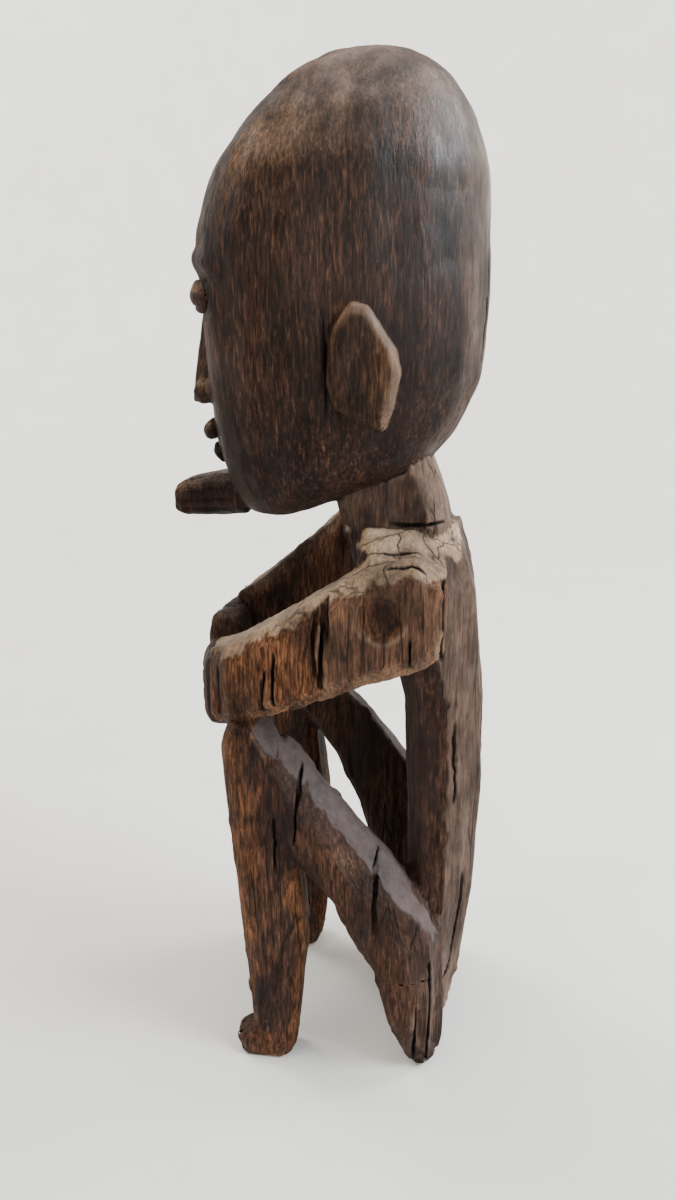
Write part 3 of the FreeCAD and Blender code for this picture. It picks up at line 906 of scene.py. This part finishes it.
def wood_material(name, **colours):
    """Old wood with upright grain, worn, dusty and cracked, with painted light and painted shade, where the
    masks say so.
    """
    material, tree = node_tree(name)
    grain = {
        "patches": noise_texture(tree, (24, 24, 13), 4.0, 0.62, 0.3, 3.0),
        "dashes": noise_texture(tree, (560, 560, 80), 5.0, 0.70, 0.6),
        "hairs": noise_texture(tree, (800, 800, 60), 3.0, 0.6, 0.3, 5.0),
        "grit": noise_texture(tree, (520, 520, 420), 3.0, 0.65, 0.0, 7.0),
    }
    colour = soiled_and_shaded(tree, wood_colour(tree, grain, **colours), grain)
    lines = fine_lines(tree)
    colour = blend_colours(tree, multiply(tree, lines, 0.85), colour, BLACK)
    # painted shade: the cracks are filled with black
    colour = blend_colours(tree, mask(tree, "crack"), colour, BLACK)

    rough = spread(tree, noise_texture(tree, (90, 90, 22), 4.0, 0.6), 0.30, 0.70, 0.50, 0.82)
    gloss = multiply(tree, mask(tree, "polish"), spread(tree, grain["patches"], 0.35, 0.60, 0.45, 1.0))
    rough = math_node(tree, "SUBTRACT", rough, multiply(tree, gloss, 0.24))
    specular = spread(tree, mask(tree, "polish"), 0.0, 1.0, 0.12, 0.30)
    normal = bumped(tree, grain["dashes"], 0.45, 0.0010)
    normal = bumped(tree, grain["grit"], 0.25, 0.0006, normal)
    normal = bumped(tree, math_node(tree, "SUBTRACT", 1.0, lines), 0.8, 0.0012, normal)
    shader = put(tree, "ShaderNodeBsdfPrincipled", {
        "Base Color": colour, "Roughness": rough, "Normal": normal, "Specular IOR Level": specular,
    })
    put(tree, "ShaderNodeOutputMaterial", {"Surface": shader.outputs["BSDF"]})
    return material


head_wood = wood_material(
    "head_wood", mid=(0.027, 0.0125, 0.008, 1), light=(0.096, 0.039, 0.019, 1), warm=(0.118, 0.060, 0.022, 1),
    worn=(0.118, 0.076, 0.055, 1), bare=(0.150, 0.092, 0.060, 1))
body_wood = wood_material(
    "body_wood", mid=(0.040, 0.018, 0.011, 1), light=(0.088, 0.042, 0.023, 1), warm=(0.128, 0.050, 0.019, 1),
    worn=(0.118, 0.075, 0.056, 1), bare=(0.300, 0.205, 0.135, 1))


# ---------------------------------------------------------------- the pieces

def close_holes(mesh):
    """Cover the openings where a piece was parted from its neighbours."""
    shell = bmesh.new()
    shell.from_mesh(mesh)
    edges = [edge for edge in shell.edges if edge.is_boundary]
    made = bmesh.ops.holes_fill(shell, edges=edges, sides=0)
    bmesh.ops.triangulate(shell, faces=made["faces"])
    shell.to_mesh(mesh)
    shell.free()


def make_piece(name, quads_here, masks):
    """A closed mesh of some of the figure's faces, with the whole figure's normals and masks."""
    used, local = np.unique(quads_here, return_inverse=True)
    mesh = bpy.data.meshes.new(name)
    mesh.from_pydata((points[used] / MM).tolist(), [], local.reshape(-1, 4).tolist())
    close_holes(mesh)
    for key, values in masks.items():
        layer = mesh.attributes.new(key, "FLOAT", "POINT")
        layer.data.foreach_set("value", values[used].astype(np.float32))
    mesh.shade_smooth()
    mesh.normals_split_custom_set_from_vertices(normals[used].tolist())
    piece = bpy.data.objects.new(name, mesh)
    bpy.context.scene.collection.objects.link(piece)
    return piece


def make_pieces():
    masks = paint()
    face_owner = look_up(members, points[quads].mean(1))
    for name, nodes in PIECES.items():
        chosen = np.isin(face_owner, [NODES.index(node) for node in nodes])
        piece = make_piece(name, quads[chosen], masks)
        slot = "head_wood" if set(nodes) & set(HEAD_PARTS + ["neck"]) else "body_wood"
        piece.data.materials.append(head_wood if slot == "head_wood" else body_wood)
        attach(piece, "root")
        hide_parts(*nodes)


make_pieces()


# ---------------------------------------------------------------- studio

def studio_floor():
    """A pale floor whose far rim curves up, so that it is its own backdrop from every side."""
    mesh = bpy.data.meshes.new("studio_floor")
    bowl = bmesh.new()
    turns = 96
    bend = [(1.7 + 1.0 * math.sin(a), 1.0 - 1.0 * math.cos(a)) for a in np.linspace(0, math.pi / 2, 16)]
    profile = [(0.6, 0.0), (1.2, 0.0)] + bend + [(2.7, 1.9)]
    rings = []
    for radius, height in profile:
        ring = [bowl.verts.new((radius * math.cos(t), radius * math.sin(t), height))
                for t in np.linspace(0, 2 * math.pi, turns, endpoint=False)]
        rings.append(ring)
    bowl.faces.new(rings[0])
    for inner, outer in zip(rings[:-1], rings[1:]):
        for index in range(turns):
            after = (index + 1) % turns
            bowl.faces.new((inner[index], outer[index], outer[after], inner[after]))
    bowl.to_mesh(mesh)
    bowl.free()
    mesh.shade_smooth()
    floor = bpy.data.objects.new("studio_floor", mesh)
    bpy.context.scene.collection.objects.link(floor)
    material, tree = node_tree("studio_plaster")
    mottle = noise_texture(tree, (9, 9, 9), 5.0, 0.6)
    colour = ramp(tree, mottle, [(0.3, (0.75, 0.73, 0.68, 1)), (0.7, (0.80, 0.78, 0.73, 1))])
    normal = bumped(tree, noise_texture(tree, (300, 300, 300), 3.0), 0.05, 0.0005)
    shader = put(tree, "ShaderNodeBsdfPrincipled", {"Base Color": colour, "Roughness": 0.8, "Normal": normal})
    put(tree, "ShaderNodeOutputMaterial", {"Surface": shader.outputs["BSDF"]})
    mesh.materials.append(material)


def area_light(name, place, target, size, power, colour):
    data = bpy.data.lights.new(name, "AREA")
    data.shape = "DISK"
    data.size = size
    data.energy = power
    data.color = colour
    light = bpy.data.objects.new(name, data)
    bpy.context.scene.collection.objects.link(light)
    light.location = place
    light.rotation_mode = "QUATERNION"
    light.rotation_quaternion = (Vector(target) - Vector(place)).to_track_quat("-Z", "Y")


def studio_lights():
    middle = (0, 0, 0.38)
    area_light("window_light", (0.35, 1.55, 1.6), middle, 1.1, 68, (0.82, 0.91, 1.0))
    area_light("ceiling_light", (-0.2, -0.3, 2.3), middle, 1.6, 30, (1.0, 0.95, 0.88))
    area_light("room_light", (1.2, -1.5, 0.9), middle, 1.4, 12, (1.0, 0.86, 0.68))
    for side in (-1, 1):
        area_light("wall_light_%s" % ("a" if side < 0 else "b"), (-0.9, side * 1.7, 2.2),
                   (-2.6, 0, 0.8), 1.4, 69, (0.97, 0.98, 1.0))
    world = bpy.data.worlds.new("soft_room")
    world.use_nodes = True
    world.node_tree.nodes["Background"].inputs["Color"].default_value = (0.95, 0.97, 1.0, 1)
    world.node_tree.nodes["Background"].inputs["Strength"].default_value = 0.28
    bpy.context.scene.world = world


def photo_camera():
    """A hand-held view of the figure's left side, from a little behind it and looking down."""
    data = bpy.data.cameras.new("camera")
    data.lens = 27
    data.sensor_width = 36
    data.clip_start = 0.01
    camera = bpy.data.objects.new("camera", data)
    bpy.context.scene.collection.objects.link(camera)
    camera.location = (0.597, 0.086, 0.508)
    camera.rotation_mode = "QUATERNION"
    camera.rotation_quaternion = Vector((-0.9485, -0.1333, -0.2874)).to_track_quat("-Z", "Y")
    bpy.context.scene.camera = camera


studio_floor()
studio_lights()
photo_camera()
